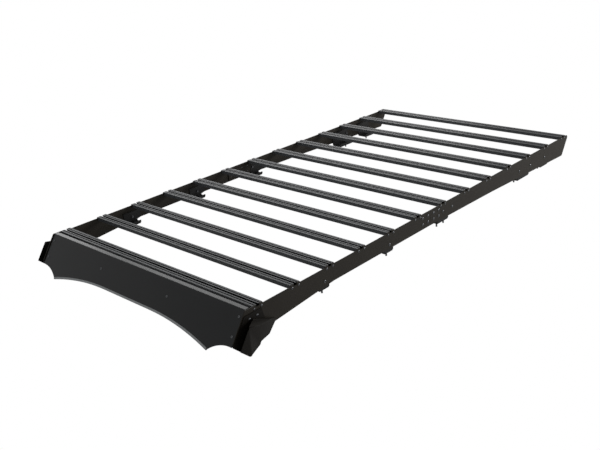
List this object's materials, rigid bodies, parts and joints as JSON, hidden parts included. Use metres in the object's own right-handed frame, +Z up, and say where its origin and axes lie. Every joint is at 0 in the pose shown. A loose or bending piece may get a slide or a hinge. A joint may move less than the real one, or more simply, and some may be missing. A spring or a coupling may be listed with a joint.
{
  "type": "roof rack",
  "caption": "Flat slatted roof rack: T-slotted cross slats bolted between two side rails, a bent wind deflector with a rubber edge in front, flared side scoops and bolt-down feet.",
  "frame": {"origin": "midway between the rails, at half the overall length, level with the lowest point of the wind deflector's spikes", "axes": "+X to the vehicle's right, -Y to the front (the wind deflector's side), +Z up"},
  "size_m": [1.344, 2.5828, 0.1547],
  "materials": {
    "slat_black": "black powder coat over an aluminium extrusion, satin",
    "rail_black": "black powder coat over aluminium plate, satin",
    "deflector_black": "black powder coat over aluminium sheet, fine texture",
    "trim_rubber": "dark grey rubber, matt",
    "bracket_black": "black coated steel, satin",
    "scoop_plastic": "black moulded plastic, fine grain",
    "pad_rubber": "black rubber, matt",
    "screw_black": "black oxide steel",
    "zinc_steel": "dark zinc-plated steel"
  },
  "bodies": {
    "root": {"deflector_bracket_left": "bracket_black", "deflector_bracket_right": "bracket_black", "deflector_edge_trim": "trim_rubber", "deflector_screws": "screw_black", "deflector_stay_left": "bracket_black", "deflector_stay_right": "bracket_black", "foot_bolts": "screw_black", "foot_left_1": "bracket_black", "foot_left_2": "bracket_black", "foot_left_3": "bracket_black", "foot_left_4": "bracket_black", "foot_left_5": "bracket_black", "foot_nuts": "zinc_steel", "foot_pad_left_1": "pad_rubber", "foot_pad_left_2": "pad_rubber", "foot_pad_left_3": "pad_rubber", "foot_pad_left_4": "pad_rubber", "foot_pad_left_5": "pad_rubber", "foot_pad_right_1": "pad_rubber", "foot_pad_right_2": "pad_rubber", "foot_pad_right_3": "pad_rubber", "foot_pad_right_4": "pad_rubber", "foot_pad_right_5": "pad_rubber", "foot_right_1": "bracket_black", "foot_right_2": "bracket_black", "foot_right_3": "bracket_black", "foot_right_4": "bracket_black", "foot_right_5": "bracket_black", "front_nuts": "zinc_steel", "mounting_bolts": "zinc_steel", "scoop_screws": "screw_black", "side_rail_left_front": "rail_black", "side_rail_left_rear": "rail_black", "side_rail_right_front": "rail_black", "side_rail_right_rear": "rail_black", "side_scoop_left": "scoop_plastic", "side_scoop_right": "scoop_plastic", "slat_01": "slat_black", "slat_02": "slat_black", "slat_03": "slat_black", "slat_04": "slat_black", "slat_05": "slat_black", "slat_06": "slat_black", "slat_07": "slat_black", "slat_08": "slat_black", "slat_09": "slat_black", "slat_10": "slat_black", "slat_11": "slat_black", "slat_12": "slat_black", "slat_13": "slat_black", "slat_screws_left": "screw_black", "slat_screws_right": "screw_black", "splice_bolts": "screw_black", "splice_plate_left": "rail_black", "splice_plate_right": "rail_black", "stay_screws": "screw_black", "wind_deflector": "deflector_black"}
  },
  "joints": []
}
